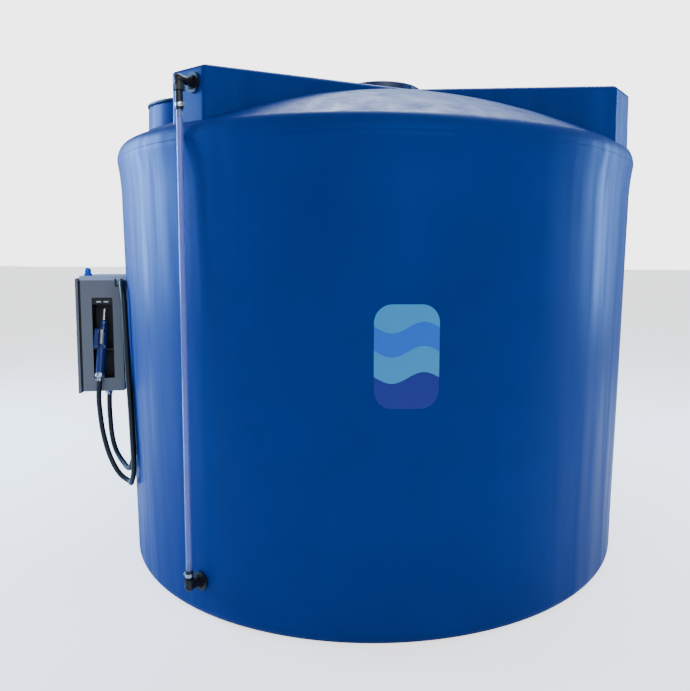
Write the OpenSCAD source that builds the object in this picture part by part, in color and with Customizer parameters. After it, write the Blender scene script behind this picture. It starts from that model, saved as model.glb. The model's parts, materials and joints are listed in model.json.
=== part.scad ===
// Vertical storage tank with a raised star roof, sight gauge, dispensing cabinet and nozzle.
// Azimuths are in degrees from -Y towards +X. The origin is the centre of the tank's base.

/* [Tank] */
// Radius of the wall just above the base corner
base_r = 1321; // [1250:1:1350]
// Radius of the wall below the flared rim
wall_top_r = 1355; // [1340:1:1365]
// Radius of the rim at the parting line
rim_r = 1373; // [1368:1:1400]
// Height of the parting line at the widest place
rim_h = 2000; // [1990:1:2020]
// Height of the flat roof top
roof_h = 2295; // [2280:1:2320]
// Thickness of the moulded wall
wall_t = 12; // [8:1:16]

/* [Roof] */
// Azimuth of the roof arm that carries the sight gauge
arm_az = -36.4; // [-40:0.1:-30]
// Distance from the roof's centre to the flat end of each arm
arm_r = 1335; // [1320:1:1338]
// Half of the width of an arm's flat end
arm_half = 100; // [80:1:110]
// Distance from the roof's centre to the notch between two arms
notch_r = 790; // [760:1:820]
// How far the roof's centre and the manhole stand off the tank's axis
roof_x = 30; // [20:1:36]
// Outer radius of the manhole lid
lid_r = 214; // [205:1:230]
// Azimuth of the raised equipment boss
boss_az = -72; // [-76:1:-70]
// Outer radius of the equipment boss
boss_r = 295; // [285:1:310]

/* [Sight gauge] */
// Outer diameter of the clear tube
gauge_d = 25; // [20:1:28]
// Height of the upper gauge fitting
gauge_top_h = 2228; // [2215:1:2235]
// Height of the lower gauge fitting
gauge_low_h = 166; // [150:1:200]

/* [Cabinet] */
// Azimuth of the cabinet's centre
cab_az = -80; // [-85:1:-75]
// Width of the cabinet along the wall
cab_w = 400; // [380:2:420]
// Depth of the cabinet
cab_d = 222; // [216:1:240]
// Height of the cabinet
cab_h = 570; // [560:1:600]
// Height of the cabinet's bottom above the ground
cab_z = 845; // [820:1:860]
// Thickness of the sheet metal
sheet_t = 2; // [1.5:0.5:3]

/* [Nozzle and hose] */
// Radius of the nozzle's spout
spout_r = 9.5; // [8:0.5:10]
// Outer diameter of the delivery hose
hose_d = 25; // [22:1:26]

/* [Hidden] */

fine = 96;
gap = 0.3;
corner_r = 45;
wall_top_h = 1800;
shoulder_r = 1330;
shoulder_h = 2074;
dome_r = 2850;
star_az = [for (i = [0 : 3]) arm_az + 90 * i];
neck_r = 198;
neck_h = 2444;
boss_dist = 925;
boss_h = 2284;

// ---------- helpers ----------

// Puts children on a radius: their own -Y looks outward, +X goes round anticlockwise
module at_azimuth(az, r = 0, z = 0) {
    rotate([0, 0, az]) translate([0, -r, z]) children();
}

// A cylinder along the local radius, from distance a to distance b from the tank's axis
module radial(az, z, a, b, r, sides = fine) {
    at_azimuth(az, a, z) rotate([90, 0, 0]) cylinder(r = r, h = b - a, $fn = sides);
}

module ring(r_out, r_in, h, sides = fine) {
    difference() {
        cylinder(r = r_out, h = h, $fn = sides);
        translate([0, 0, -1]) cylinder(r = r_in, h = h + 2, $fn = fine);
    }
}

module plate(x, y, z, r) {
    linear_extrude(z) rounded(x, y, r);
}

// Rounded rectangle centred on the origin
module rounded(x, y, r) {
    square([x - 2 * r, y], center = true);
    square([x, y - 2 * r], center = true);
    for (i = [-1, 1], j = [-1, 1])
        translate([i * (x / 2 - r), j * (y / 2 - r)]) circle(r = r, $fn = 32);
}

function wall_r(z) = base_r + (wall_top_r - base_r) * (z - corner_r) / (wall_top_h - corner_r);

// ---------- tank ----------

dome_z = function (r) shoulder_h + sqrt(pow(dome_r, 2) - r * r) - sqrt(pow(dome_r, 2) - pow(shoulder_r, 2));

// Radius of the flare between the straight wall and the parting line
function flare_r(z) = wall_top_r + (rim_r - wall_top_r) * pow((z - wall_top_h) / (rim_h - wall_top_h), 2);

// Half section of the tank, shrunk by t
function section(t) = concat(
    [[0, t], [base_r - corner_r, t]],
    [for (a = [15 : 15 : 90]) [base_r - corner_r + (corner_r - t) * sin(a), corner_r - (corner_r - t) * cos(a)]],
    [for (i = [0 : 4]) let (z = wall_top_h + i * (rim_h - wall_top_h) / 4) [flare_r(z) - t, z]],
    [for (a = [20 : 20 : 80]) [shoulder_r + (rim_r - shoulder_r) * cos(a) - t, rim_h + (shoulder_h - rim_h) * sin(a)]],
    [for (i = [0 : 8]) let (r = shoulder_r - i * (shoulder_r - notch_r) / 8) [r - t, dome_z(r) - t]],
    [[0, dome_z(notch_r) - t]]
);

function star_point(az, r, side) = [r * sin(az) + side * cos(az), -r * cos(az) + side * sin(az)];

// Plan of the four raised arms, drawn in by t
function star(t) = [for (az = star_az)
    each [
        star_point(az, arm_r - t, -(arm_half - 0.7 * t)),
        star_point(az, arm_r - t, arm_half - 0.7 * t),
        star_point(az + 45, notch_r - 1.35 * t, 0)
    ]
];

module tank_solid(t) {
    difference() {
        union() {
            rotate_extrude($fn = fine * 2) polygon(section(t));
            translate([roof_x, 0, rim_h - 10]) linear_extrude(roof_h - rim_h + 10 - t) polygon(star(t));
        }
        at_azimuth(boss_az, boss_dist, boss_h - t) cylinder(r = boss_r + 6 + t, h = 60, $fn = fine);
    }
    at_azimuth(boss_az, boss_dist, rim_h - 10)
        cylinder(r = boss_r - t, h = boss_h - rim_h + 10 - t, $fn = fine);
}

module tank_shell() color("royalblue") difference() {
    union() {
        tank_solid(0);
        translate([roof_x, 0, rim_h]) cylinder(r = neck_r, h = neck_h - rim_h, $fn = fine);
    }
    tank_solid(wall_t);
    translate([roof_x, 0, rim_h]) cylinder(r = neck_r - wall_t, h = neck_h - rim_h + 1, $fn = fine);
    at_azimuth(boss_az, boss_dist, rim_h) cylinder(r = boss_r - 48, h = 400, $fn = fine);
    for (end = [0, 1]) at_face(end) stub(-40, 20, thread_r + 0.2);
    radial(cab_az, suction_z, base_r - 30, rim_r + 20, thread_r + 0.2);
    at_fill(-30) cylinder(r = fill_r + 0.2, h = 60, $fn = fine);
    bracket_bolt_places() translate([0, 40, 0]) rotate([90, 0, 0]) cylinder(r = bolt_r + 0.2, h = 80, $fn = fine);
    hook_screw_places() translate([0, 40, 0]) rotate([90, 0, 0]) cylinder(r = bolt_r + 0.2, h = 60, $fn = fine);
    boss_screw_places(boss_h - 30) cylinder(r = bolt_r + 0.2, h = 60, $fn = 24);
}

module manhole_gasket() color("black")
    translate([roof_x, 0, neck_h]) ring(neck_r, neck_r - wall_t, 5);

module manhole_lid() color("midnightblue") translate([roof_x, 0, neck_h + 5 + gap]) {
    difference() {
        union() {
            cylinder(r = lid_r, h = 26, $fn = fine);
            translate([0, 0, 26]) cylinder(r1 = lid_r - 2, r2 = lid_r - 8, h = 5, $fn = fine);
            translate([0, 0, -46]) cylinder(r = lid_r, h = 46, $fn = fine);
        }
        translate([0, 0, -47]) cylinder(r = neck_r + 3, h = 47, $fn = fine);
        translate([0, 0, 20]) cylinder(r = lid_r - 34, h = 20, $fn = fine);
    }
    for (i = [0 : 7]) rotate([0, 0, 45 * i])
        translate([50, -7, 19]) cube([lid_r - 82, 14, 14]);
    translate([0, 0, 19]) cylinder(r = 55, h = 14, $fn = fine);
    for (i = [0 : 23]) rotate([0, 0, 15 * i])
        translate([lid_r - 2, -5, -44]) cube([7, 10, 66]);
}

module boss_screw_places(z) {
    at_azimuth(boss_az, boss_dist, z)
        for (i = [0 : 11]) rotate([0, 0, 30 * i + 15]) translate([boss_r - 24, 0, 0]) children();
}

module boss_gasket() color("black") difference() {
    at_azimuth(boss_az, boss_dist, boss_h) ring(boss_r - 2, boss_r - 46, 3);
    boss_screw_places(boss_h - 1) cylinder(r = bolt_r + 0.2, h = 10, $fn = 24);
}

module boss_cover() color("midnightblue") difference() {
    at_azimuth(boss_az, boss_dist, boss_h + 3) cylinder(r = boss_r + 4, h = 8, $fn = fine);
    boss_screw_places(boss_h) cylinder(r = bolt_r + 0.2, h = 20, $fn = 24);
    at_azimuth(boss_az, boss_dist, boss_h) cylinder(r = vent_r + 0.2, h = 20, $fn = fine);
}

module boss_screws() color("silver") boss_screw_places(boss_h - 20) {
    cylinder(r = bolt_r, h = 31, $fn = 24);
    translate([0, 0, 31]) cylinder(r = 12, h = 2, $fn = 24);
    translate([0, 0, 33]) cylinder(r = 7.5, h = 6, $fn = 6);
}

// ---------- vent and fill point ----------

vent_r = 24;
vent_z = boss_h + 11;

module vent_stem() color("black") at_azimuth(boss_az, boss_dist, 0) difference() {
    union() {
        translate([0, 0, vent_z - 30]) cylinder(r = vent_r, h = 60, $fn = fine);
        translate([0, 0, vent_z]) cylinder(r = 40, h = 10, $fn = 6);
        translate([0, 0, vent_z - 22]) cylinder(r = 36, h = 11, $fn = 6);
    }
    translate([0, 0, vent_z - 31]) cylinder(r = vent_r - 5, h = 62, $fn = fine);
}

module vent_hood() color("black") at_azimuth(boss_az, boss_dist, vent_z + 30) {
    difference() {
        translate([0, 0, -14]) cylinder(r = 52, h = 30, $fn = fine);
        translate([0, 0, -15]) cylinder(r = 48, h = 27, $fn = fine);
    }
    for (a = [0, 90]) rotate([0, 0, a]) translate([-46, -2, 0]) difference() {
        cube([92, 4, 13]);
        translate([46 - vent_r - 1, -1, -1]) cube([2 * vent_r + 2, 6, 1.3]);
    }
}

fill_dist = 1080;
fill_r = 30;

module at_fill(z) translate([roof_x, 0, roof_h + z]) at_azimuth(star_az[2], fill_dist) children();

module fill_socket() color("black") at_fill(0) difference() {
    union() {
        translate([0, 0, -45]) cylinder(r = fill_r, h = 95, $fn = fine);
        cylinder(r = 48, h = 14, $fn = fine);
        translate([0, 0, 14]) cylinder(r = 42, h = 14, $fn = 6);
        translate([0, 0, -wall_t - 14]) cylinder(r = 44, h = 14, $fn = 6);
    }
    translate([0, 0, -46]) cylinder(r = fill_r - 5, h = 97, $fn = fine);
}

module fill_cap() color("royalblue") at_fill(30) {
    difference() {
        cylinder(r = 40, h = 34, $fn = fine);
        translate([0, 0, -1]) cylinder(r = fill_r + gap, h = 21.3, $fn = fine);
    }
    for (i = [0 : 5]) rotate([0, 0, 60 * i]) translate([38, -5, 2]) cube([7, 10, 28]);
    translate([-30, -4, 33]) cube([60, 8, 12]);
}

// ---------- emblem ----------

emblem_w = 250;
emblem_h = 400;
emblem_z = 1165;
emblem_az = 5;

// Thin badge that follows the wall
module emblem_plate() color("dodgerblue") intersection() {
    rotate([0, 0, emblem_az - 100]) rotate_extrude(angle = 20, $fn = fine * 2) polygon([
        for (e = [[gap, 950], [gap + 1.5, 950], [gap + 1.5, 1380], [gap, 1380]]) [wall_r(e[1]) + e[0], e[1]]
    ]);
    at_azimuth(emblem_az, wall_top_r - 150, emblem_z) rotate([90, 0, 0]) plate(emblem_w, emblem_h, 200, 70);
}

// ---------- sight gauge ----------

thread_r = 16;
flange_r = 41;
elbow_r = 17;
bore_r = 9.5;
gauge_x = 36;
low_az = -33.9;
low_face = wall_r(gauge_low_h) + 2;
stand = [62, 68];
sleeve_z = [36, 84];

function turn(az, p) = [p.x * cos(az) - p.y * sin(az), p.x * sin(az) + p.y * cos(az)];

// Centre of each elbow: 0 at the foot of the wall, 1 on the end of the roof's arm
top_xy = [roof_x, 0] + turn(arm_az, [gauge_x, -arm_r - stand[1]]);
low_xy = turn(low_az, [0, -low_face - stand[0]]);
elbow_at = [[low_xy.x, low_xy.y, gauge_low_h], [top_xy.x, top_xy.y, gauge_top_h]];
tube_line = elbow_at[1] - elbow_at[0];
tube_len = norm(tube_line);

// Frame on the tank face behind an elbow; -Y looks outward
module at_face(end) {
    if (end == 1) translate([roof_x, 0, gauge_top_h]) at_azimuth(arm_az, arm_r) translate([gauge_x, 0, 0]) children();
    if (end == 0) at_azimuth(low_az, low_face, gauge_low_h) children();
}

// A round or sided bar that stands out of the face, from distance a to distance b
module stub(a, b, r, sides = fine) translate([0, -a, 0]) rotate([90, 0, 0]) cylinder(r = r, h = b - a, $fn = sides);

// Frame at an elbow, Z along the tube towards its middle
module on_tube(end, along) {
    translate(elbow_at[end]) rotate([0, acos(tube_line.z / tube_len), atan2(tube_line.y, tube_line.x)])
        rotate([end == 1 ? 180 : 0, 0, 0]) translate([0, 0, along]) children();
}

module bulkhead(end) color("black") at_face(end) difference() {
    union() {
        stub(-45, 20, thread_r);
        stub(3.2, 9, flange_r);
        stub(9, 18, 28, 6);
    }
    stub(-50, 40, bore_r);
}

module gasket(end) at_face(end) difference() {
    stub(0.2, 3, flange_r - 3);
    stub(-5, 10, thread_r + 0.1);
}

module backnut(end) at_face(end) difference() {
    stub(-wall_t - 19, -wall_t - 4, 30, 6);
    stub(-wall_t - 30, 0, thread_r + 0.1);
}

// Street elbow: its barrel comes off the bulkhead and its leg turns onto the tube's line
module elbow(end) color("black") difference() {
    union() {
        at_face(end) stub(20, stand[end], elbow_r);
        at_face(end) stub(20, 28, elbow_r + 5);
        on_tube(end, 0) sphere(r = elbow_r + 3, $fn = 48);
        on_tube(end, 0) cylinder(r = elbow_r, h = 24, $fn = fine);
        on_tube(end, 17) cylinder(r = elbow_r + 4, h = 7, $fn = fine);
    }
    at_face(end) stub(14, stand[end], bore_r);
    on_tube(end, 0) sphere(r = bore_r + 2, $fn = 48);
    on_tube(end, 0) cylinder(r = bore_r, h = 50, $fn = fine);
}

// Union nut, hose tail and the sleeve over the tube's end
module tail_nut(end) color("black") on_tube(end, 24) {
    z = sleeve_z[end] - 24;
    difference() {
        union() {
            cylinder(r = 23, h = end == 1 ? 20 : 10, $fn = 8);
            cylinder(r = 14.5, h = z, $fn = fine);
            translate([0, 0, z]) cylinder(r = gauge_d / 2 - 3, h = 60, $fn = fine);
        }
        translate([0, 0, -1]) cylinder(r = 6, h = 160, $fn = fine);
    }
    translate([0, 0, z - 2]) ring(15.5, gauge_d / 2 + 0.1, 36);
    translate([0, 0, z - 2]) ring(15.5, 8, 2);
}

module worm_clamp(r) {
    ring(r + 1.6, r + 0.1, 14);
    translate([r - 1 + 2, -7, -1]) cube([9, 14, 16]);
    translate([r + 5, -12, 7]) rotate([-90, 0, 0]) cylinder(r = 3.8, h = 24, $fn = 24);
}

module gauge_tube() color("aliceblue") on_tube(0, sleeve_z[0] + 1)
    ring(gauge_d / 2, gauge_d / 2 - 2.9, tube_len - sleeve_z[0] - sleeve_z[1] - 2);

module gauge_upper_bulkhead() bulkhead(1);
module gauge_upper_elbow() elbow(1);
module gauge_upper_nut() tail_nut(1);
module gauge_lower_bulkhead() bulkhead(0);
module gauge_lower_elbow() elbow(0);
module gauge_lower_nut() tail_nut(0);

module gauge_gaskets() color("dimgray") for (end = [0, 1]) gasket(end);

module gauge_backnuts() color("black") for (end = [0, 1]) backnut(end);

module gauge_clamps() color("silver") for (end = [0, 1])
    on_tube(end, sleeve_z[end] + 8) rotate([0, 0, end == 1 ? 120 : 60]) worm_clamp(15.5);

// ---------- cabinet ----------

cab_back = 1358;
box_d = cab_d - 25;
pocket_w = 102;
pocket_h = 416;
pocket_deep = 88;
pocket_y = -95;
pocket_z = 67;
bolt_r = 4;
suction_z = cab_z + 260;
outlet = [150, -85];
gland = [-120, -60];
lock_z = 300;
hood_h = 22;

// Cabinet frame: +X towards the nozzle side, -Y outward, Z up from the cabinet's bottom
module cab() {
    at_azimuth(cab_az, cab_back, cab_z) children();
}

module bracket_bolt_places() {
    for (x = [-130, 130], z = [70, 500])
        at_azimuth(cab_az, cab_back, cab_z + z) translate([x, 0, 0]) children();
}

// Two top-hat rails whose backs follow the round wall
module cabinet_brackets() color("gray") difference() {
    cab() for (z = [45, 475]) translate([-cab_w / 2 + 20, 0, z]) cube([cab_w - 40, 45, 50]);
    translate([0, 0, cab_z]) cylinder(r1 = wall_r(cab_z) + gap, r2 = wall_r(cab_z + cab_h) + gap, h = cab_h, $fn = fine * 2);
    bracket_bolt_places() translate([0, 60, 0]) rotate([90, 0, 0]) cylinder(r = bolt_r + 0.2, h = 70, $fn = fine);
}

module bracket_bolts() color("silver") bracket_bolt_places() {
    translate([0, 60, 0]) rotate([90, 0, 0]) cylinder(r = bolt_r, h = 60 + sheet_t, $fn = fine);
    translate([0, -sheet_t, 0]) rotate([90, 0, 0]) cylinder(r = 12, h = 2, $fn = fine);
    translate([0, -sheet_t - 2, 0]) rotate([90, 0, 0]) cylinder(r = 7.5, h = 5, $fn = 6);
}

// Back, far side, bottom and top in one folded sheet
module cabinet_box() color("slategray") difference() {
    cab() union() {
        translate([-cab_w / 2, -sheet_t, 0]) cube([cab_w - sheet_t - gap, sheet_t, cab_h]);
        translate([-cab_w / 2, -box_d, 0]) cube([sheet_t, box_d, cab_h]);
        translate([-cab_w / 2, -box_d, 0]) cube([cab_w - sheet_t - gap, box_d, sheet_t]);
        translate([-cab_w / 2, -box_d, cab_h - sheet_t]) cube([cab_w - sheet_t - gap, box_d, sheet_t]);
        translate([-cab_w / 2, -box_d, 0]) cube([cab_w - sheet_t - gap, sheet_t, 22]);
        translate([-cab_w / 2, -box_d, cab_h - 22]) cube([cab_w - sheet_t - gap, sheet_t, 22]);
    }
    bracket_bolt_places() translate([0, 10, 0]) rotate([90, 0, 0]) cylinder(r = bolt_r + 0.2, h = 30, $fn = fine);
    radial(cab_az, suction_z, cab_back - 10, cab_back + 20, thread_r + 1);
    cab() translate([outlet.x, outlet.y, -10]) cylinder(r = 14.2, h = 30, $fn = fine);
    cab() translate([gland.x, gland.y, -10]) cylinder(r = 10.2, h = 30, $fn = fine);
    cab() translate([lamp.x, lamp.y, cab_h - 10]) cylinder(r = 8.2, h = 20, $fn = fine);
}

// Rain hood: a shallow folded tray turned over on the box, its back edge cut to the round wall
module cabinet_hood() color("lightgray") difference() {
    cab() difference() {
        translate([-cab_w / 2 - 3, -box_d - 3, cab_h + gap]) cube([cab_w + 6, box_d + 30, hood_h]);
        translate([-cab_w / 2 - 1, -box_d - 1, cab_h - 1]) cube([cab_w + 2, box_d + 40, hood_h - 1]);
        translate([lamp.x, lamp.y, cab_h - 10]) cylinder(r = 8.2, h = 40, $fn = fine);
    }
    translate([0, 0, cab_z]) cylinder(r1 = wall_r(cab_z) + 1, r2 = wall_r(cab_z + cab_h + 50) + 1, h = cab_h + 50, $fn = fine * 2);
}

// Nozzle side, with a folded rear edge and the window for the holster
module nozzle_side_panel() color("slategray") cab() difference() {
    union() {
        translate([cab_w / 2 - sheet_t, -box_d, 0]) cube([sheet_t, box_d, cab_h]);
        translate([cab_w / 2 - 18, -sheet_t - gap - sheet_t, 6]) cube([17, sheet_t, cab_h - 12]);
        translate([cab_w / 2 - 18, -box_d, 24]) cube([17, sheet_t, cab_h - 48]);
    }
    translate([cab_w / 2 - 10, pocket_y, pocket_z + pocket_h / 2]) rotate([90, 0, 90])
        plate(pocket_w - 2, pocket_h - 2, 20, 7);
    for (z = [30, 285, 540]) translate([cab_w / 2 - 10, -12, z]) rotate([0, 90, 0]) cylinder(r = 2.7, h = 20, $fn = 24);
}

module side_panel_screws() color("silver") cab() for (z = [30, 285, 540]) translate([cab_w / 2, -12, z]) rotate([0, 90, 0]) {
    translate([0, 0, -8]) cylinder(r = 2.5, h = 8, $fn = 24);
    cylinder(r = 5, h = 2.5, $fn = 24);
}

// Front door: a shallow tray that closes over the box
module cabinet_door() color("slategray") cab() translate([0, -cab_d, 0]) difference() {
    union() {
        translate([-cab_w / 2, 0, door_z]) cube([cab_w, sheet_t, door_h]);
        for (x = [-cab_w / 2, cab_w / 2 - sheet_t])
            translate([x, 0, door_z]) cube([sheet_t, door_t, door_h]);
        for (z = [door_z, door_z + door_h - sheet_t])
            translate([-cab_w / 2, 0, z]) cube([cab_w, door_t, sheet_t]);
    }
    translate([cab_w / 2 - 30, -5, lock_z]) rotate([-90, 0, 0]) cylinder(r = 9.2, h = 20, $fn = fine);
}

// Rubber frame on the front of the box that the door closes on
module door_seal() color("black") cab() translate([0, -box_d - gap, cab_h / 2]) rotate([90, 0, 0]) difference() {
    linear_extrude(cab_d - box_d - door_t - 2 * gap) rounded(cab_w - 16, cab_h - 16, 8);
    translate([0, 0, -1]) linear_extrude(40) rounded(cab_w - 38, cab_h - 38, 6);
}

hinge_x = -cab_w / 2 - 8;
hinge_y = -cab_d + 10;
door_t = 13;
door_z = -9;
door_h = cab_h + 19;
hinge_zs = [90, 440];

module door_hinge_leaves() color("silver") cab() for (z = hinge_zs) {
    translate([-cab_w / 2 - 3, -box_d + 1, z]) cube([3, 30, 60]);
    translate([hinge_x, hinge_y, z]) {
        ring(5, 3.05, 18);
        translate([0, 0, 42]) ring(5, 3.05, 18);
    }
    for (h = [0, 42]) translate([hinge_x + 2, hinge_y + 3.6, z + h]) cube([3, 20, 18]);
}

module door_hinge_knuckles() color("silver") cab() for (z = hinge_zs) {
    translate([hinge_x, hinge_y, z + 18.5]) ring(5, 3.05, 23);
    translate([hinge_x + 3.6, hinge_y - 8, z + 18.5]) cube([4.3, 10, 23]);
}

module door_hinge_pins() color("silver") cab() for (z = hinge_zs)
    translate([hinge_x, hinge_y, z - 3]) {
        cylinder(r = 3, h = 66, $fn = fine);
        cylinder(r = 5, h = 2.9, $fn = fine);
        translate([0, 0, 63.1]) cylinder(r = 5, h = 2.9, $fn = fine);
    }

module door_lock() color("silver") cab() translate([cab_w / 2 - 30, -cab_d, lock_z]) rotate([90, 0, 0]) {
    translate([0, 0, -32]) cylinder(r = 9, h = 34, $fn = fine);
    difference() {
        translate([0, 0, gap]) cylinder(r = 14, h = 5, $fn = fine);
        translate([-1.5, -7, 3]) cube([3, 14, 5]);
    }
    translate([-6, -24, -32]) cube([12, 30, 3]);
}

// ---------- holster ----------

// Black pocket that the nozzle hangs in, with a flange behind the panel and a strip for the labels
module holster_pocket() color("black") cab() translate([cab_w / 2 - sheet_t - gap, pocket_y, pocket_z + pocket_h / 2])
    rotate([0, -90, 0]) rotate([0, 0, 90]) {
        difference() {
            union() {
                plate(pocket_w + 20, pocket_h + 20, 2.5, 10);
                plate(pocket_w + 5, pocket_h + 5, pocket_deep, 9);
            }
            translate([0, 0, -1]) plate(pocket_w, pocket_h, pocket_deep - 1.5, 7);
        }
        translate([-pocket_w / 2 - 1, -pocket_h / 2 - 1, 4]) cube([pocket_w + 2, 37, 1.5]);
    }

// ---------- lamp ----------

lamp = [150, -171];

module lamp_base() color("royalblue") cab() translate([lamp.x, lamp.y, cab_h + hood_h + 2 * gap]) {
    cylinder(r = 22, h = 8, $fn = fine);
    translate([0, 0, 8]) cylinder(r1 = 21, r2 = 17, h = 5, $fn = fine);
    translate([0, 0, -37]) cylinder(r = 8, h = 37, $fn = fine);
    translate([0, 0, -35]) cylinder(r = 13, h = 8, $fn = 6);
}

module lamp_dome() color("dodgerblue") cab() translate([lamp.x, lamp.y, cab_h + hood_h + 13 + 3 * gap]) difference() {
    union() {
        cylinder(r = 16, h = 12, $fn = fine);
        translate([0, 0, 12]) sphere(r = 16, $fn = fine);
    }
    translate([0, 0, -20]) cylinder(r = 20, h = 20, $fn = fine);
    translate([0, 0, -1]) cylinder(r = 13, h = 12, $fn = fine);
}

module holster_labels() color("whitesmoke") cab() for (y = [-18, 17])
    translate([cab_w / 2 - sheet_t - gap - 4, pocket_y + y - 11, pocket_z + pocket_h - 26]) cube([0.8, 22, 7]);

// ---------- pump set ----------

module pump_bench() color("gray") cab() difference() {
    translate([-185, -150, sheet_t + 0.2]) cube([230, 130, 60]);
    translate([-190, -147, 0]) cube([240, 124, 59.2]);
    translate([-5, pipe_y, 40]) cylinder(r = 19, h = 40, $fn = fine);
}

module pump_head() color("royalblue") cab() translate([0, pipe_y, 115]) {
    difference() {
        rotate([0, 90, 0]) translate([0, 0, -45]) cylinder(r = 46, h = 80, $fn = fine);
        translate([-5, 0, -60]) cylinder(r = 9, h = 120, $fn = fine);
    }
    for (s = [-1, 1]) translate([-5, 0, s * 45 - 9]) ring(17, 9, 18);
    difference() {
        translate([-40, -40, -52.5]) cube([70, 80, 15]);
        translate([-5, 0, -60]) cylinder(r = 17, h = 30, $fn = fine);
    }
}

module pump_motor() color("dimgray") cab() translate([-45 - gap, pipe_y, 115]) rotate([0, -90, 0]) {
    cylinder(r = 44, h = 110, $fn = fine);
    for (i = [0 : 11]) rotate([0, 0, 30 * i]) translate([42, -2, 15]) cube([6, 4, 80]);
    translate([-52.5, -25, 30]) cube([20, 50, 60]);
}

module flow_meter() color("black") cab() translate([-5, pipe_y - 10, 330]) difference() {
    union() {
        translate([0, -25, 0]) rotate([-90, 0, 0]) cylinder(r = 48, h = 50, $fn = fine);
        translate([-34, -45, -34]) cube([68, 21, 68]);
        for (s = [-1, 1]) translate([0, 10, s * 52 - 14]) cylinder(r = 17, h = 28, $fn = fine);
    }
    translate([0, 10, -80]) cylinder(r = 9, h = 160, $fn = fine);
}

pipe_y = -85;

// Suction to the pump, riser to the meter, and the return that comes down to the outlet
module pump_pipework() color("silver") cab() {
    tube_path([[8, -31, 260], [58, -31, 260], [58, -31, 34], [58, pipe_y, 34], [-5, pipe_y, 34], [-5, pipe_y, 60.6]], 9);
    tube_path([[-5, pipe_y, 169.3], [-5, pipe_y, 263.7]], 11);
    tube_path([[-5, pipe_y, 396.3], [-5, pipe_y, 440], [88, pipe_y, 440], [88, pipe_y, 34],
               [outlet.x, outlet.y, 34], [outlet.x, outlet.y, 19]], 11);
}

// Straight pipes joined by ball corners
module tube_path(pts, r) {
    for (i = [0 : len(pts) - 2]) {
        d = pts[i + 1] - pts[i];
        translate(pts[i]) rotate([0, acos(d.z / norm(d)), atan2(d.y, d.x)]) cylinder(r = r, h = norm(d), $fn = 48);
        if (i > 0) translate(pts[i]) sphere(r = r + 3, $fn = 48);
    }
}

module suction_bulkhead() color("black") difference() {
    union() {
        radial(cab_az, suction_z, cab_back - 60, cab_back + 18, thread_r);
        radial(cab_az, suction_z, cab_back + sheet_t + gap, cab_back + 14, 28, 6);
        radial(cab_az, suction_z, cab_back + 14, cab_back + 46, 20);
    }
    radial(cab_az, suction_z, cab_back - 70, cab_back + 31, 8);
    cab() translate([-3, -31, 260]) rotate([0, 90, 0]) cylinder(r = 9.1, h = 40, $fn = fine);
}

dip_r = wall_r(suction_z) - 95;

module dip_tube() color("lightgray") rotate([0, 0, cab_az])
    tube_path([[0, -(cab_back - 60) + 0.3, suction_z], [0, -dip_r, suction_z], [0, -dip_r, 110]], 12);

module foot_strainer() color("black") at_azimuth(cab_az, dip_r, 30) difference() {
    cylinder(r = 32, h = 79.8, $fn = fine);
    for (i = [0 : 9]) rotate([0, 0, 36 * i]) translate([22, -3, 10]) cube([20, 6, 50]);
}

module cable_gland() color("dimgray") cab() translate([gland.x, gland.y, 0]) difference() {
    union() {
        translate([0, 0, -22]) cylinder(r = 12, h = 8, $fn = fine);
        translate([0, 0, -14]) cylinder(r = 14, h = 14, $fn = 6);
        translate([0, 0, 0]) cylinder(r = 10, h = 12, $fn = fine);
        translate([0, 0, sheet_t + gap]) cylinder(r = 13.5, h = 6, $fn = 6);
    }
    translate([0, 0, -30]) cylinder(r = 5, h = 60, $fn = fine);
}

module outlet_fitting() color("silver") cab() translate([outlet.x, outlet.y, 0]) {
    translate([0, 0, -25]) cylinder(r = 15, h = 9, $fn = fine);
    translate([0, 0, -16]) cylinder(r = 19, h = 16, $fn = 6);
    cylinder(r = 14, h = 18.8, $fn = fine);
    translate([0, 0, sheet_t + gap]) cylinder(r = 18, h = 8, $fn = 6);
}

// ---------- hook ----------

hook_az = -66.8;
hook_z = 1393;

module hook_screw_places() {
    for (z = [-46, -18]) at_azimuth(hook_az, wall_r(hook_z) + 1, hook_z + z) children();
}

// Round bar with a turned-up tip, welded to a plate on the tank wall
module hose_hook() color("silver") {
    face = wall_r(hook_z) + 3;
    at_azimuth(hook_az, face, hook_z) {
        difference() {
            translate([-18, -4, -62]) cube([36, 4, 80]);
            for (z = [-46, -18]) translate([0, 5, z]) rotate([90, 0, 0]) cylinder(r = bolt_r + 0.1, h = 12, $fn = 24);
        }
        translate([0, -3, 0]) rotate([90, 0, 0]) cylinder(r = 5, h = 45, $fn = 32);
        translate([0, -48, 0]) sphere(r = 5, $fn = 32);
        translate([0, -48, 0]) cylinder(r = 5, h = 34, $fn = 32);
        for (z = [-46, -18]) translate([0, -4, z]) rotate([90, 0, 0]) cylinder(r = 7, h = 4, $fn = 6);
    }
}

// ---------- delivery hose ----------

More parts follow.
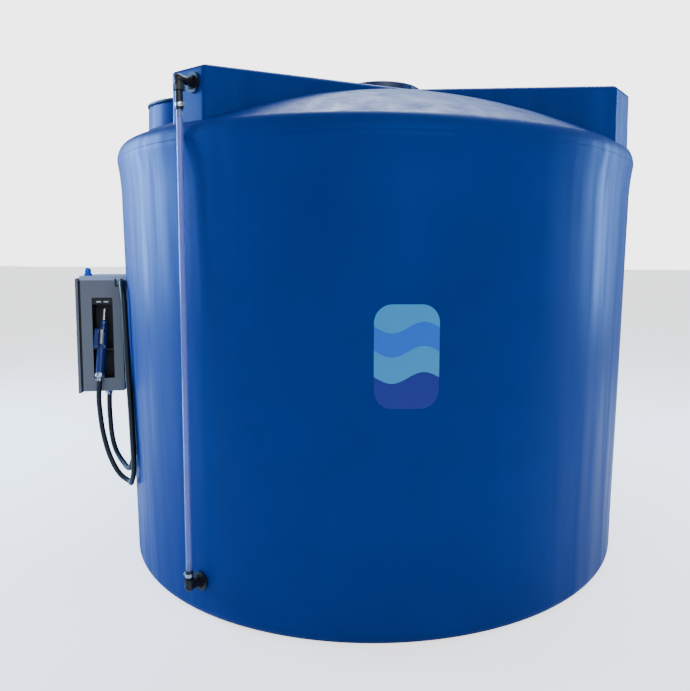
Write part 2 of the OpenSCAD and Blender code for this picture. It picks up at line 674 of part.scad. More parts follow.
// Route as [along the wall, out from the axis, height] in the cabinet's azimuth frame
hose_route = [
    [150, 1443, 820], [151, 1444, 750], [158, 1440, 680], [172, 1432, 610], [196, 1414, 548],
    [230, 1386, 506], [272, 1356, 484], [318, 1332, 476], [362, 1311, 484], [400, 1293, 515],
    [423, 1278, 570], [421, 1280, 640], [416, 1284, 760], [408, 1289, 880], [385, 1298.5, 970],
    [357, 1307.5, 1060], [325, 1318, 1150], [290, 1329, 1240], [262, 1339, 1310], [270, 1341, 1380],
    [300, 1336, 1415], [362, 1324, 1404], [404, 1310, 1352], [414, 1304, 1280], [418, 1300, 1160],
    [424, 1295, 1020], [434, 1288, 880], [444, 1281, 740], [450, 1276, 600], [450, 1274, 530],
    [441, 1279, 475], [412, 1293, 430], [368, 1305, 408], [330, 1318, 403], [290, 1366, 424],
    [262, 1405, 470], [248, 1437, 547], [240, 1460, 645], [238, 1470, 730], [237, 1475, 810],
    [232.5, 1473.5, 874], [227, 1471, 902.6]
];

function bspline(a, b, c, d, t) =
    0.5 * (2 * b + (c - a) * t + (2 * a - 5 * b + 4 * c - d) * t * t + (3 * b - a - 3 * c + d) * t * t * t);

// Catmull-Rom curve through the route, steps points to each stretch
function smooth(p, steps) = concat([for (i = [0 : len(p) - 2]) each [for (k = [0 : steps - 1])
    bspline(p[max(i - 1, 0)], p[i], p[i + 1], p[min(i + 2, len(p) - 1)], k / steps)]], [p[len(p) - 1]]);

function unit(v) = v / norm(v);
function tangent(c, i) = i == 0 ? [0, 0, -1] : i == len(c) - 1 ? [-0.186, 0.045, 0.982] : unit(c[i + 1] - c[i - 1]);

// Carries a sideways direction along the curve without twist
function carry(c, i, side, out) = i == len(c) ? out :
    let (t = tangent(c, i), s = unit(side - (side * t) * t)) carry(c, i + 1, s, concat(out, [s]));

module tube_mesh(c, r, n) {
    sides = carry(c, 0, [1, 0, 0], []);
    points = [for (i = [0 : len(c) - 1]) let (t = tangent(c, i), s = sides[i], u = cross(t, s))
        each [for (k = [0 : n - 1]) c[i] + r * (cos(360 * k / n) * s + sin(360 * k / n) * u)]];
    walls = [for (i = [0 : len(c) - 2], k = [0 : n - 1])
        [i * n + k, i * n + (k + 1) % n, (i + 1) * n + (k + 1) % n, (i + 1) * n + k]];
    last = (len(c) - 1) * n;
    polyhedron(points, concat([[for (k = [n - 1 : -1 : 0]) k]], walls, [[for (k = [0 : n - 1]) last + k]]));
}

module delivery_hose() color("black") rotate([0, 0, cab_az])
    tube_mesh([for (p = smooth(hose_route, 2)) [p.x, -p.y, p.z]], hose_d / 2, 10);

// ---------- nozzle ----------

nozzle_at = [227, -113, 58];
nozzle_lean = [-2.6, -10.7, 0];
body_z = 166.3;

// Nozzle frame: origin at the hose's end, Z up the grip, +X away from the pocket
module at_nozzle() {
    cab() translate(nozzle_at) rotate(nozzle_lean) children();
}

// Fork across the pocket that the nozzle's shoulder stands on; the slot is open outward
module nozzle_rest() color("black") intersection() {
    at_nozzle() difference() {
        translate([-110, -60, body_z - 6.3]) cube([130, 130, 6]);
        translate([0, 0, body_z - 10]) cylinder(r = 23.5, h = 20, $fn = fine);
        translate([0, -23.5, body_z - 10]) cube([60, 47, 20]);
    }
    cab() translate([112.4, pocket_y - pocket_w / 2 + 0.2, 100]) cube([85, pocket_w - 0.4, 300]);
}

module hose_ferrule() color("silver") at_nozzle() {
    cylinder(r = 16, h = 12, $fn = fine);
    translate([0, 0, 12]) cylinder(r = 12, h = 6, $fn = fine);
    translate([-5, -20, 2]) cube([10, 8, 8]);
}

module nozzle_swivel() color("silver") at_nozzle() {
    translate([0, 0, 18]) cylinder(r1 = 18, r2 = 24, h = 6, $fn = fine);
    translate([0, 0, 24]) cylinder(r = 24, h = 14, $fn = 12);
    translate([0, 0, 38]) cylinder(r = 19, h = 4.7, $fn = fine);
}

module nozzle_grip() color("mediumblue") at_nozzle() translate([0, 0, 43])
    cylinder(r1 = 21, r2 = 22.5, h = body_z - 43, $fn = fine);

// Valve body: shoulder, barrel and the round seat of the spout
module nozzle_body() color("mediumblue") at_nozzle() {
    difference() {
        translate([-20, -27, body_z]) linear_extrude(16) translate([20, 27]) rounded(40, 54, 12);
        translate([0, -25, body_z + 8]) rotate([90, 0, 0]) cylinder(r = 2.6, h = 10, $fn = 24);
    }
    translate([0, 3, body_z + 16]) cylinder(r = 21, h = 96, $fn = fine);
    translate([0, 3, body_z + 112]) cylinder(r1 = 21, r2 = 17, h = 6, $fn = fine);
    translate([0, 3, body_z + 118]) cylinder(r = 17, h = 5, $fn = fine);
    for (y = [-6.5, 10.5]) difference() {
        translate([12, y, body_z + 83]) cube([24, 4, 16]);
        translate([29, y - 1, body_z + 91]) rotate([-90, 0, 0]) cylinder(r = 2.55, h = 6, $fn = fine);
    }
}

module lever_pin() color("silver") at_nozzle() translate([29, -6.5, body_z + 91]) rotate([-90, 0, 0])
    cylinder(r = 2.5, h = 21, $fn = fine);

// Loop in front of the lever
module nozzle_guard() color("mediumblue") at_nozzle() translate([20, -7, 0]) rotate([90, 0, 0]) difference() {
    translate([14, body_z + 50, 0]) plate(44, 100, 18, 14);
    translate([9, body_z + 50, -1]) plate(34, 80, 30, 8);
    translate([-30, body_z - 2, -1]) cube([30, 110, 30]);
}

module nozzle_lever() color("silver") at_nozzle() difference() {
    union() {
        translate([29, 0, body_z + 22]) cube([5, 8, 64]);
        translate([26, -2, body_z + 78]) cube([8, 12, 16]);
        translate([29, 10, body_z + 91]) rotate([90, 0, 0]) cylinder(r = 6, h = 12, $fn = fine);
    }
    translate([29, 20, body_z + 91]) rotate([90, 0, 0]) cylinder(r = 2.6, h = 40, $fn = fine);
}

module nozzle_collar() color("mediumblue") at_nozzle() translate([0, 3, body_z + 123]) {
    cylinder(r = 18, h = 4, $fn = fine);
    translate([0, 0, 4]) cylinder(r = 20, h = 12, $fn = 12);
    translate([0, 0, 16]) cylinder(r1 = 18, r2 = 12, h = 6, $fn = fine);
}

module nozzle_spout() color("silver") at_nozzle() translate([0, 3, body_z + 145]) difference() {
    cylinder(r = spout_r, h = 58, $fn = fine);
    translate([0, 0, 5]) cylinder(r = spout_r - 1.5, h = 60, $fn = fine);
}

tank_shell();
manhole_gasket();
manhole_lid();
boss_gasket();
boss_cover();
boss_screws();
vent_stem();
vent_hood();
fill_socket();
fill_cap();
emblem_plate();
gauge_upper_bulkhead();
gauge_upper_elbow();
gauge_upper_nut();
gauge_tube();
gauge_lower_bulkhead();
gauge_lower_elbow();
gauge_lower_nut();
gauge_gaskets();
gauge_backnuts();
gauge_clamps();
cabinet_brackets();
bracket_bolts();
cabinet_box();
cabinet_hood();
nozzle_side_panel();
side_panel_screws();
cabinet_door();
door_seal();
door_hinge_leaves();
door_hinge_knuckles();
door_hinge_pins();
door_lock();
holster_pocket();
nozzle_rest();
holster_labels();
lamp_base();
lamp_dome();
pump_head();
pump_motor();
pump_bench();
flow_meter();
pump_pipework();
suction_bulkhead();
dip_tube();
foot_strainer();
cable_gland();
outlet_fitting();
hose_hook();
delivery_hose();
hose_ferrule();
nozzle_swivel();
nozzle_grip();
nozzle_body();
nozzle_guard();
nozzle_lever();
lever_pin();
nozzle_collar();
nozzle_spout();
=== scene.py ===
import json
import math

import bpy
import numpy as np
from mathutils import Matrix, Vector


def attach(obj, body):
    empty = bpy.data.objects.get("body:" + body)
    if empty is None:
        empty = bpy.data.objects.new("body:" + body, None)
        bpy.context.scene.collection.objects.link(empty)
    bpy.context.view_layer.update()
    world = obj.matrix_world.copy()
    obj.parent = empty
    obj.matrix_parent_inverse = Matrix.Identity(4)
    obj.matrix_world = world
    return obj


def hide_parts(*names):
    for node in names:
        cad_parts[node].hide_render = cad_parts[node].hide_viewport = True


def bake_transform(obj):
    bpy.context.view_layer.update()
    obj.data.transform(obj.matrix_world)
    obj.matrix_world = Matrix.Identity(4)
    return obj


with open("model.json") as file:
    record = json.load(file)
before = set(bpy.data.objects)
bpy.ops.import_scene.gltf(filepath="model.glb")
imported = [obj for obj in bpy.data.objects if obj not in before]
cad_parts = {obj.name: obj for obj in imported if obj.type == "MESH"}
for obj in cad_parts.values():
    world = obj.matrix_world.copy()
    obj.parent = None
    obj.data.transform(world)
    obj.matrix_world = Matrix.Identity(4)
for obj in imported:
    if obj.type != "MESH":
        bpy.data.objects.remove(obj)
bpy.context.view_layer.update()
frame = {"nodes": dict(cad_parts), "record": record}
NODES = frame["nodes"]

# ---------------------------------------------------------------- camera
EYE = (0, -3.734, 1.538)
PAN, TILT, ROLL = -0.817, 85.0, 0.334  # degrees; a tilt of 90 looks level
cam = bpy.data.objects.new("camera", bpy.data.cameras.new("camera"))
bpy.context.scene.collection.objects.link(cam)
cam.data.sensor_fit = "HORIZONTAL"
cam.data.sensor_width = 36.0
cam.data.lens = 33.506
cam.data.shift_x = -0.0583
cam.data.shift_y = -0.0458
cam.data.clip_start, cam.data.clip_end = 0.05, 100
cam.matrix_world = (Matrix.Translation(EYE)
                    @ Matrix.Rotation(math.radians(PAN), 4, "Z")
                    @ Matrix.Rotation(math.radians(TILT), 4, "X")
                    @ Matrix.Rotation(math.radians(ROLL), 4, "Z"))
bpy.context.scene.camera = cam

# ---------------------------------------------------------------- frames, as in the CAD (mm)
ARM = math.radians(-36.4)
CAB = math.radians(-80.0)
CAB_BACK, CAB_Z = 1358.0, 845.0


def cab(points):
    """Cabinet frame (x to the nozzle side, -y outward, z from its bottom, mm) to the row frame in metres."""
    p = np.asarray(points, float).reshape(-1, 3) + [0, -CAB_BACK, CAB_Z]
    c, s = math.cos(CAB), math.sin(CAB)
    return np.stack([c * p[:, 0] - s * p[:, 1], s * p[:, 0] + c * p[:, 1], p[:, 2]], 1) / 1000


# ---------------------------------------------------------------- mesh builders
def mesh(name, verts, faces):
    """Object at the origin from (n,3) metres and a list of quad or tri arrays."""
    me = bpy.data.meshes.new(name)
    faces = [np.asarray(f, np.int32) for f in faces if len(f)]
    loops = np.concatenate([f.ravel() for f in faces])
    sizes = np.concatenate([np.full(len(f), f.shape[1], np.int32) for f in faces])
    me.vertices.add(len(verts))
    me.vertices.foreach_set("co", np.asarray(verts, np.float32).ravel())
    me.loops.add(len(loops))
    me.loops.foreach_set("vertex_index", loops)
    me.polygons.add(len(sizes))
    me.polygons.foreach_set("loop_start", np.concatenate([[0], np.cumsum(sizes)[:-1]]).astype(np.int32))
    me.update(calc_edges=True)
    me.polygons.foreach_set("use_smooth", np.full(len(sizes), True))
    ob = bpy.data.objects.new(name, me)
    bpy.context.scene.collection.objects.link(ob)
    return ob


def grid_faces(rows, cols, base=0):
    """Quads of a rows x cols grid whose columns run round a loop."""
    i, j = np.meshgrid(np.arange(rows - 1), np.arange(cols), indexing="ij")
    k = (j + 1) % cols
    low, high = i * cols, (i + 1) * cols
    return base + np.stack([low + j, low + k, high + k, high + j], -1).reshape(-1, 4)


def revolve(name, profile, n=128, frame_fn=None, wave=None):
    """Surface of revolution of (r, z) mm about +Z; frame_fn maps it to metres, wave moves the radius."""
    pr = np.asarray(profile, float)
    a = np.linspace(0, 2 * math.pi, n, endpoint=False)
    r = np.repeat(pr[:, :1], n, 1)
    z = np.repeat(pr[:, 1:], n, 1)
    if wave is not None:
        r = r + wave(a[None, :], z)
    p = np.stack([r * np.cos(a), r * np.sin(a), z], -1).reshape(-1, 3)
    faces = [grid_faces(len(pr), n)]
    if pr[0, 0] < 1e-6 or pr[-1, 0] < 1e-6:
        faces = []
        rows = list(range(len(pr)))
        if pr[0, 0] < 1e-6:
            j = np.arange(n)
            faces.append(np.stack([np.zeros(n, int), n + (j + 1) % n, n + j], 1))
            rows = rows[1:]
        if pr[-1, 0] < 1e-6:
            j = np.arange(n)
            b = (len(pr) - 2) * n
            faces.append(np.stack([b + j, b + (j + 1) % n, np.full(n, (len(pr) - 1) * n)], 1))
            rows = rows[:-1]
        faces.append(grid_faces(len(rows), n, base=rows[0] * n))
    p = frame_fn(p) if frame_fn else p / 1000
    return mesh(name, p, faces)


def rounded_profile(points, radii, steps=6):
    """Polyline of (r, z) with each inner corner turned by an arc of the given radius."""
    pts = [np.asarray(p, float) for p in points]
    out = [pts[0]]
    for i in range(1, len(pts) - 1):
        a, b, c, rad = pts[i - 1], pts[i], pts[i + 1], radii[i - 1]
        u, v = (a - b), (c - b)
        lu, lv = np.linalg.norm(u), np.linalg.norm(v)
        u, v = u / lu, v / lv
        half = math.acos(max(-1, min(1, float(u @ v)))) / 2
        if rad <= 0 or half > math.radians(89):
            out.append(b)
            continue
        d = min(rad / math.tan(half), lu * 0.49, lv * 0.49)
        rad = d * math.tan(half)
        centre = b + (u + v) / np.linalg.norm(u + v) * (rad / math.sin(half))
        s, e = b + u * d - centre, b + v * d - centre
        a0 = math.atan2(s[1], s[0])
        da = (math.atan2(e[1], e[0]) - a0 + math.pi) % (2 * math.pi) - math.pi
        out += [centre + rad * np.array([math.cos(a0 + da * t), math.sin(a0 + da * t)])
                for t in np.linspace(0, 1, steps)]
    out.append(pts[-1])
    return np.array(out)


def sweep(name, points, radius, sides):
    """Round closed tube along points (metres) with parallel-transported rings."""
    c = np.asarray(points, float)
    t = np.gradient(c, axis=0)
    t /= np.linalg.norm(t, axis=1, keepdims=True)
    s = np.zeros_like(c)
    s0 = np.cross(t[0], [0.3, 0.9, 0.1])
    for i in range(len(c)):
        s0 = s0 - (s0 @ t[i]) * t[i]
        s0 /= np.linalg.norm(s0)
        s[i] = s0
    u = np.cross(t, s)
    a = np.linspace(0, 2 * math.pi, sides, endpoint=False)
    p = c[:, None] + radius * (np.cos(a)[None, :, None] * s[:, None] + np.sin(a)[None, :, None] * u[:, None])
    v = p.reshape(-1, 3)
    n, last = len(v), (len(c) - 1) * sides
    j = np.arange(sides)
    k = (j + 1) % sides
    return mesh(name, np.vstack([v, c[0], c[-1]]), [
        grid_faces(len(c), sides),
        np.stack([np.full(sides, n), k, j], 1),
        np.stack([np.full(sides, n + 1), last + j, last + k], 1)])


def catmull(p, steps):
    """Catmull-Rom curve through p, the same one the CAD hose follows."""
    p = np.asarray(p, float)
    q = np.vstack([p[:1], p, p[-1:]])
    a, b, c, d = q[:-3], q[1:-2], q[2:-1], q[3:]
    t = (np.arange(steps) / steps)[None, :, None]
    a, b, c, d = (x[:, None] for x in (a, b, c, d))
    out = 0.5 * (2 * b + (c - a) * t + (2 * a - 5 * b + 4 * c - d) * t ** 2
                 + (3 * b - a - 3 * c + d) * t ** 3)
    return np.vstack([out.reshape(-1, 3), p[-1:]])


# ---------------------------------------------------------------- delivery hose
ROUTE = [
    [150, 1443, 820], [151, 1444, 750], [158, 1440, 680], [172, 1432, 610], [196, 1414, 548],
    [230, 1386, 506], [272, 1356, 484], [318, 1332, 476], [362, 1311, 484], [400, 1293, 515],
    [423, 1278, 570], [421, 1280, 640], [416, 1284, 760], [408, 1289, 880], [385, 1298.5, 970],
    [357, 1307.5, 1060], [325, 1318, 1150], [290, 1329, 1240], [262, 1339, 1310], [270, 1341, 1380],
    [300, 1336, 1415], [362, 1324, 1404], [404, 1310, 1352], [414, 1304, 1280], [418, 1300, 1160],
    [424, 1295, 1020], [434, 1288, 880], [444, 1281, 740], [450, 1276, 600], [450, 1274, 530],
    [441, 1279, 475], [412, 1293, 430], [368, 1305, 408], [330, 1318, 403], [290, 1366, 424],
    [262, 1405, 470], [248, 1437, 547], [240, 1460, 645], [238, 1470, 730], [237, 1475, 810],
    [232.5, 1473.5, 874], [227, 1471, 902.6]]
HOSE_R, HOSE_SIDES, CURVE_STEPS = 0.0125, 20, 10
# ROUTE counts outward from the tank's axis and up from the ground,
# cab() from the cabinet's back and bottom
route = np.array(ROUTE, float) * [1, -1, 1] + [0, CAB_BACK, -CAB_Z]
line = cab(catmull(route, CURVE_STEPS))
hose = sweep("delivery_hose_skin", line, HOSE_R, HOSE_SIDES)
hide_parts("delivery_hose")
# in plan, where the hose goes over from the tank to the nozzle on its way up from its lowest loop
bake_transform(hose)

# ---------------------------------------------------------------- tank shell
BASE_R, WALL_R, RIM_R, RIM_H, WALL_H = 1321.0, 1355.0, 1373.0, 2000.0, 1800.0
SHOULDER_R, SHOULDER_H, DOME_R, CORNER = 1330.0, 2074.0, 2850.0, 45.0
ARM_R, ARM_HALF, NOTCH_R, ROOF_H, ROOF_X = 1335.0, 100.0, 790.0, 2295.0, 30.0
BOSS_AZ, BOSS_R, BOSS_DIST, BOSS_H = math.radians(-72.0), 295.0, 925.0, 2284.0


def dome(r):
    return SHOULDER_H + np.sqrt(DOME_R ** 2 - r * r) - math.sqrt(DOME_R ** 2 - SHOULDER_R ** 2)


# height in mm, waves round the tank, phase, and mm of height in which the phase turns by one radian
RIPPLES = [(0.8, 5, 0.7, 900), (0.55, 11, 2.1, -700), (0.32, 19, 0.0, 420),
           (0.2, 31, 1.3, 1100), (0.5, 3, 0.0, 260)]


def wave(a, z):
    """Slight unevenness of a large moulding, in mm, fading at the base and the rim."""
    fade = np.clip((z - 60) / 250, 0, 1) * np.clip((1985 - z) / 160, 0, 1)
    return fade * sum(h * np.sin(waves * a + phase + z / rise) for h, waves, phase, rise in RIPPLES)


def wall_profile():
    """(r, z) from the middle of the base, up the wall, over the rim and the dome to under the deck."""
    p = [(0, 0), (600, 0), (1100, 0)]
    p += [(BASE_R - CORNER + CORNER * math.sin(t), CORNER - CORNER * math.cos(t))
          for t in np.linspace(0, math.pi / 2, 10)]
    p += [(BASE_R + (WALL_R - BASE_R) * (z - CORNER) / (WALL_H - CORNER), z)
          for z in np.linspace(80, WALL_H, 34)]
    p += [(WALL_R + (RIM_R - WALL_R) * ((z - WALL_H) / (RIM_H - WALL_H)) ** 2, z)
          for z in np.linspace(1820, RIM_H - 3, 10)]
    # mould parting line: a shallow groove round the rim
    p += [(RIM_R - 1.6, RIM_H - 1.2), (RIM_R - 1.6, RIM_H + 1.2), (RIM_R - 0.1, RIM_H + 3)]
    p += [(SHOULDER_R + (RIM_R - SHOULDER_R) * math.cos(t), RIM_H + (SHOULDER_H - RIM_H) * math.sin(t))
          for t in np.linspace(0.08, math.pi / 2 - 0.12, 14)]
    p += [(SHOULDER_R + 3, SHOULDER_H - 0.3), (SHOULDER_R, SHOULDER_H - 0.2)]
    p += [(r, float(dome(r)) - 0.2) for r in np.linspace(SHOULDER_R - 5, 777, 24)]
    p += [(740, 2270), (700, 2230)]
    return p


def clear_boss(p):
    """Drops the dome under the boss cover, where the shell has its round recess."""
    b = [BOSS_DIST * math.sin(BOSS_AZ), -BOSS_DIST * math.cos(BOSS_AZ)]
    near = (np.hypot(p[:, 0] - b[0], p[:, 1] - b[1]) < BOSS_R + 4) & (p[:, 2] > 2100)
    p[near, 2] = np.minimum(p[near, 2], BOSS_H - 1)
    return p / 1000


tank_wall = revolve("tank_wall", wall_profile(), 720, clear_boss, wave)


def star_outline():
    """Plan of the raised deck in mm, anticlockwise, its arm corners and notches rounded."""
    pts = []
    for k in range(4):
        az = ARM + k * math.pi / 2
        for side, r, da in ((-ARM_HALF, ARM_R, 0), (ARM_HALF, ARM_R, 0), (0, NOTCH_R, math.pi / 4)):
            c, s = math.cos(az + da), math.sin(az + da)
            pts.append([r * s + side * c, -r * c + side * s])
    pts = np.array(pts)
    radii, m = [24, 24, 70] * 4, len(pts)
    arcs = [rounded_profile([pts[i - 1], pts[i], pts[(i + 1) % m]], [radii[i]], 10)[1:-1] for i in range(m)]
    out = np.vstack(arcs)
    nxt = np.roll(out, -1, 0)
    cuts = [np.linspace(a, b, 1 + max(1, int(np.hypot(*(b - a)) / 30)))[:-1] for a, b in zip(out, nxt)]
    return np.vstack(cuts)


def roof():
    """Flat raised deck with a rounded edge; its walls go down through the dome."""
    o = star_outline()
    t = np.roll(o, -1, 0) - np.roll(o, 1, 0)
    t /= np.linalg.norm(t, axis=1, keepdims=True)
    nrm = np.stack([t[:, 1], -t[:, 0]], 1)
    lip = 20.0
    rings = []

    def ring(xy, z):
        rings.append(np.column_stack([xy + [ROOF_X, 0], np.full(len(xy), z)]))
    ring(o + nrm * 1.5, 2006)
    ring(o + nrm * 1.0, 2100)
    for z in (2150, 2200, 2240, ROOF_H - lip - 8):
        ring(o, z)
    for a in np.linspace(0, math.pi / 2, 9):
        ring(o - nrm * lip * (1 - math.cos(a)), ROOF_H - lip + lip * math.sin(a))
    inner = o - nrm * (lip + 12)
    ring(inner, ROOF_H)
    for k in (0.8, 0.6, 0.45, 0.33):
        ring(inner * k, ROOF_H)
    n = len(o)
    v = np.vstack(rings + [[[ROOF_X, 0, ROOF_H], [ROOF_X, 0, 2006]]])
    j, k, last = np.arange(n), (np.arange(n) + 1) % n, (len(rings) - 1) * n
    ob = mesh("tank_roof", v / 1000, [grid_faces(len(rings), n),
                                      np.stack([last + j, last + k, np.full(n, len(v) - 2)], 1),
                                      np.stack([k, j, np.full(n, len(v) - 1)], 1)])
    # round recess in which the equipment boss stands
    recess = [(0, BOSS_H), (BOSS_R + 6, BOSS_H), (BOSS_R + 6, 2400), (0, 2400)]
    cut = revolve("recess", recess, 128, boss_frame)
    md = ob.modifiers.new("recess", "BOOLEAN")
    md.operation, md.solver, md.object = "DIFFERENCE", "EXACT", cut
    bpy.context.view_layer.update()
    me = bpy.data.meshes.new_from_object(ob.evaluated_get(bpy.context.evaluated_depsgraph_get()))
    ob.modifiers.clear()
    ob.data = me
    me.set_sharp_from_angle(angle=math.radians(38))
    bpy.data.objects.remove(cut)
    return ob


def boss_frame(p):
    return (np.asarray(p) + [BOSS_DIST * math.sin(BOSS_AZ), -BOSS_DIST * math.cos(BOSS_AZ), 0]) / 1000


tank_roof = roof()
neck_profile = [(250, 2294.4), (214, 2294.6), (198, 2309), (198, 2444), (186, 2444), (186, 2230)]
neck = revolve("manhole_neck", rounded_profile(neck_profile, [10, 12, 2, 2]), 128,
               lambda p: (p + [ROOF_X, 0, 0]) / 1000)
boss_profile = [(BOSS_R + 30, 2110), (BOSS_R + 2, 2170), (BOSS_R - 1, BOSS_H), (262, BOSS_H),
                (249, BOSS_H), (249, 2200)]
boss = revolve("equipment_boss", rounded_profile(boss_profile, [24, 12, 0, 3]), 160, boss_frame)
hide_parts("tank_shell")
for o in (tank_wall, tank_roof, neck, boss):
    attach(o, "tank")


# ---------------------------------------------------------------- materials
def srgb(hexa):
    v = [int(hexa[i:i + 2], 16) / 255 for i in (0, 2, 4)]
    return [x / 12.92 if x <= 0.04045 else ((x + 0.055) / 1.055) ** 2.4 for x in v] + [1.0]


def add(nt, kind, at=(0, 0), **values):
    """Adds one shader node and sets its properties or named inputs."""
    nd = nt.nodes.new(kind)
    nd.location = at
    for k, v in values.items():
        key = k.replace("_", " ")
        if hasattr(nd, k):
            setattr(nd, k, v)
        elif key in nd.inputs:
            nd.inputs[key].default_value = v
        else:
            raise KeyError(k)
    return nd


def material(name, colour, rough=0.5, metal=0.0, bump=None, tint=None, rough_var=0.0, scale=1.0, **extra):
    """Principled material; bump=(size_mm, height_mm), tint=(second colour, size_mm, amount)."""
    m = bpy.data.materials.new(name)
    m.use_nodes = True
    nt = m.node_tree
    b = nt.nodes["Principled BSDF"]
    b.inputs["Base Color"].default_value = srgb(colour)
    b.inputs["Roughness"].default_value = rough
    b.inputs["Metallic"].default_value = metal
    for k, v in extra.items():
        b.inputs[k.replace("_", " ")].default_value = v
    co = add(nt, "ShaderNodeTexCoord", (-1200, 0))
    if tint:
        n = add(nt, "ShaderNodeTexNoise", (-900, 200), Scale=1000 / tint[1], Detail=4.0, Roughness=0.55)
        nt.links.new(co.outputs["Object"], n.inputs["Vector"])
        mr = add(nt, "ShaderNodeMapRange", (-700, 200), From_Min=0.35, From_Max=0.65,
                 To_Min=0.0, To_Max=tint[2])
        nt.links.new(n.outputs["Fac"], mr.inputs["Value"])
        mx = add(nt, "ShaderNodeMix", (-400, 200), data_type="RGBA")
        # a colour Mix node has its two colours at inputs 6 and 7
        mx.inputs[6].default_value = srgb(colour)
        mx.inputs[7].default_value = srgb(tint[0])
        nt.links.new(mr.outputs["Result"], mx.inputs["Factor"])
        nt.links.new(mx.outputs[2], b.inputs["Base Color"])
    if rough_var:
        n = add(nt, "ShaderNodeTexNoise", (-900, -100), Scale=25.0 * scale, Detail=5.0)
        nt.links.new(co.outputs["Object"], n.inputs["Vector"])
        mr = add(nt, "ShaderNodeMapRange", (-600, -100), To_Min=rough - rough_var, To_Max=rough + rough_var)
        nt.links.new(n.outputs["Fac"], mr.inputs["Value"])
        nt.links.new(mr.outputs["Result"], b.inputs["Roughness"])
    if bump:
        n = add(nt, "ShaderNodeTexNoise", (-900, -400), Scale=1000 / bump[0], Detail=3.0)
        nt.links.new(co.outputs["Object"], n.inputs["Vector"])
        bp = add(nt, "ShaderNodeBump", (-400, -400), Distance=bump[1] / 1000, Strength=1.0)
        nt.links.new(n.outputs["Fac"], bp.inputs["Height"])
        nt.links.new(bp.outputs["Normal"], b.inputs["Normal"])
    return m


MATS = {
    # rotationally moulded polyethylene: waxy, faint orange peel, slightly uneven gloss
    "tank_blue": material("tank_polyethylene", "012E78", 0.42, bump=(9, 0.1), tint=("012868", 420, 0.5),
                          Specular_IOR_Level=0.28, Specular_Tint=srgb("4C86FF")),
    "dark_blue_plastic": material("lid_plastic", "05245C", 0.4, bump=(4, 0.05), rough_var=0.05),
    "nozzle_blue": material("nozzle_enamel", "06256C", 0.3, bump=(6, 0.03), rough_var=0.05, Coat_Weight=0.25),
    "lamp_blue": material("lamp_plastic", "0A55C8", 0.15, Coat_Weight=0.5),
    "black_plastic": material("black_polypropylene", "0B0C0F", 0.42, bump=(2.5, 0.04), rough_var=0.08),
    "black_rubber": material("hose_rubber", "0C0D10", 0.46, bump=(1.8, 0.05), rough_var=0.06),
    "clear_tube": material("clear_pvc", "A9B6F6", 0.16, Transmission_Weight=0.7, IOR=1.4),
    "grey_paint": material("grey_powder_coat", "6C7076", 0.42, bump=(1.2, 0.03), tint=("65696F", 160, 0.4),
                           rough_var=0.04),
    "light_paint": material("light_powder_coat", "A3B0C6", 0.38, bump=(1.2, 0.03), rough_var=0.04),
    "steel": material("stainless_steel", "B9BCC0", 0.28, 1.0, rough_var=0.06, scale=8),
    "zinc": material("zinc_plate", "A4A7AA", 0.38, 1.0, rough_var=0.08, scale=4),
    "alu": material("cast_aluminium", "C4C6C8", 0.36, 1.0, bump=(2, 0.05), rough_var=0.06),
    "motor_paint": material("motor_enamel", "30343A", 0.4, bump=(1.5, 0.04)),
    "white_pipe": material("white_pipe", "DDE0DE", 0.4),
    "label_white": material("label_white", "C9CCD0", 0.5),
    "emblem_blue": material("emblem_film", "0862CB", 0.33, Specular_IOR_Level=0.4),
}


def wave_bands(m):
    """Plain wavy bands of three blues across the badge, along its height."""
    nt = m.node_tree
    co = add(nt, "ShaderNodeTexCoord", (-1500, 600))
    xyz = add(nt, "ShaderNodeSeparateXYZ", (-1300, 600))
    nt.links.new(co.outputs["Object"], xyz.inputs[0])
    swing = add(nt, "ShaderNodeMath", (-1100, 700), operation="MULTIPLY")
    swing.inputs[1].default_value = 26.0
    sine = add(nt, "ShaderNodeMath", (-900, 700), operation="SINE")
    lift = add(nt, "ShaderNodeMath", (-700, 700), operation="MULTIPLY_ADD")
    lift.inputs[1].default_value = 0.022
    part = add(nt, "ShaderNodeMapRange", (-500, 700), From_Min=0.965, From_Max=1.365)
    ramp = add(nt, "ShaderNodeValToRGB", (-300, 700))
    nt.links.new(xyz.outputs["X"], swing.inputs[0])
    nt.links.new(swing.outputs[0], sine.inputs[0])
    nt.links.new(sine.outputs[0], lift.inputs[0])
    nt.links.new(xyz.outputs["Z"], lift.inputs[2])
    nt.links.new(lift.outputs[0], part.inputs["Value"])
    nt.links.new(part.outputs["Result"], ramp.inputs["Fac"])
    cr = ramp.color_ramp
    cr.interpolation = "CONSTANT"
    for pos, colour in ((0.0, "031880"), (0.3, "2C8DC5"), (0.55, "0862CB"), (0.78, "2C8DC5")):
        e = cr.elements.new(pos) if pos else cr.elements[0]
        e.position, e.color = pos, srgb(colour)
    cr.elements.remove(cr.elements[-1])
    nt.links.new(ramp.outputs["Color"], nt.nodes["Principled BSDF"].inputs["Base Color"])


def wall_streaks(m):
    """Upright soft streaks in the gloss, as a large moulding shows where it left the mould."""
    nt = m.node_tree
    co = add(nt, "ShaderNodeTexCoord", (-1500, -900))
    stretch = add(nt, "ShaderNodeMapping", (-1300, -900), vector_type="POINT")
    stretch.inputs["Scale"].default_value = (11.0, 11.0, 0.5)
    n = add(nt, "ShaderNodeTexNoise", (-1100, -900), Scale=1.0, Detail=4.0, Roughness=0.6)
    mr = add(nt, "ShaderNodeMapRange", (-900, -900), From_Min=0.32, From_Max=0.68, To_Min=0.3, To_Max=0.56)
    nt.links.new(co.outputs["Object"], stretch.inputs["Vector"])
    nt.links.new(stretch.outputs["Vector"], n.inputs["Vector"])
    nt.links.new(n.outputs["Fac"], mr.inputs["Value"])
    nt.links.new(mr.outputs["Result"], nt.nodes["Principled BSDF"].inputs["Roughness"])


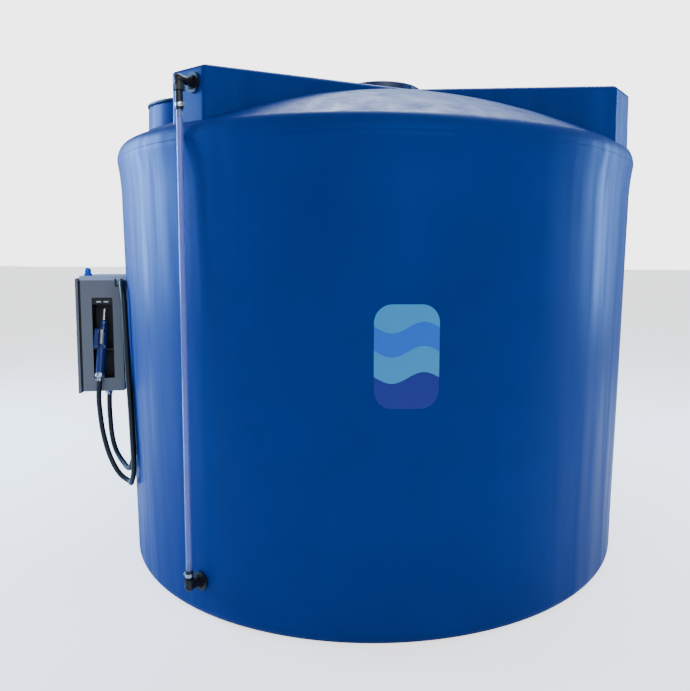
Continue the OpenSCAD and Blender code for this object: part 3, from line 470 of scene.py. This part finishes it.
wave_bands(MATS["emblem_blue"])
wall_streaks(MATS["tank_blue"])
SLOT = {r["node"]: r["material_slot"] for r in frame["record"]["subparts"]}
for n, o in NODES.items():
    o.data.materials.clear()
    o.data.materials.append(MATS[SLOT[n]])
for o in (tank_wall, tank_roof, neck, boss):
    o.data.materials.append(MATS["tank_blue"])
hose.data.materials.append(MATS["black_rubber"])


def bevel(name, width):
    """Rounds the hard edges of a CAD piece by width mm, as on folded sheet and mouldings."""
    m = NODES[name].modifiers.new("edge", "BEVEL")
    m.width = width / 1000
    m.segments = 3
    m.limit_method = "ANGLE"
    m.angle_limit = math.radians(40)


EDGES = {
    "cabinet_door": 1.6, "cabinet_hood": 1.6, "nozzle_side_panel": 0.5, "holster_pocket": 1.2,
    "nozzle_guard": 3.0, "nozzle_lever": 1.2, "nozzle_swivel": 1.5, "nozzle_body": 2.2,
    "nozzle_collar": 1.2, "cabinet_box": 0.5, "gauge_upper_bulkhead": 1.2, "gauge_lower_bulkhead": 1.2,
    "gauge_upper_nut": 1.0, "gauge_lower_nut": 1.0, "manhole_lid": 3.0, "boss_cover": 1.2,
    "hose_ferrule": 0.6, "lamp_base": 0.8,
}
for n, w in EDGES.items():
    bevel(n, w)

# ---------------------------------------------------------------- stage and light
FLOOR_Z, FLOOR_GLOW = -0.0005, 1.6
FLOOR_PLAN = [(-60, -9), (60, -9), (60, 90), (-60, 90)]
floor = mesh("floor", [(x, y, FLOOR_Z) for x, y in FLOOR_PLAN], [np.array([[0, 1, 2, 3]])])
pale = material("floor", "FAFBFC", 0.8, Emission_Color=(1, 1, 1, 1))
# the floor glows to the camera only, so that it looks pale and adds no light of its own to the tank
ft = pale.node_tree
seen_floor = add(ft, "ShaderNodeMath", (-300, -700), operation="MULTIPLY")
seen_floor.inputs[1].default_value = FLOOR_GLOW
camera_ray = add(ft, "ShaderNodeLightPath", (-500, -700)).outputs["Is Camera Ray"]
ft.links.new(camera_ray, seen_floor.inputs[0])
ft.links.new(seen_floor.outputs[0], ft.nodes["Principled BSDF"].inputs["Emission Strength"])
floor.data.materials.append(pale)
world = bpy.data.worlds.new("world")
bpy.context.scene.world = world
world.use_nodes = True
wt = world.node_tree
soft = wt.nodes["Background"]
soft.inputs[0].default_value, soft.inputs[1].default_value = (0.78, 0.88, 1.0, 1), 0.5
seen = add(wt, "ShaderNodeBackground", (-200, -200), Color=(1, 1, 1, 1), Strength=4.0)
path, mixer = add(wt, "ShaderNodeLightPath", (-400, 200)), add(wt, "ShaderNodeMixShader", (100, 0))
wt.links.new(path.outputs["Is Camera Ray"], mixer.inputs[0])
wt.links.new(soft.outputs[0], mixer.inputs[1])
wt.links.new(seen.outputs[0], mixer.inputs[2])
wt.links.new(mixer.outputs[0], wt.nodes["World Output"].inputs[0])


def lamp(name, at, target, size, power, colour=(1, 1, 1)):
    """Rectangular area lamp at a place, turned to its target; sizes in metres, power in watts."""
    li = bpy.data.lights.new(name, "AREA")
    li.shape = "RECTANGLE"
    li.size, li.size_y = size
    li.energy = power
    li.color = colour
    ob = bpy.data.objects.new(name, li)
    bpy.context.scene.collection.objects.link(ob)
    ob.location = at
    ob.rotation_euler = (Vector(target) - Vector(at)).to_track_quat("-Z", "Y").to_euler()


lamp("key_left", (-6.0, 0.9, 2.7), (-0.6, 0, 1.2), (3.0, 3.4), 760, (0.26, 0.52, 1.0))
lamp("top", (0.5, 1.2, 5.6), (0, 0, 2.2), (5, 3), 360, (0.7, 0.84, 1.0))
lamp("right", (5.6, 0.9, 2.2), (0.8, 0.2, 1.3), (1.4, 3.0), 230, (0.26, 0.52, 1.0))
lamp("front", (1.5, -6.2, 3.8), (0.2, 0, 1.7), (4.5, 3), 150)
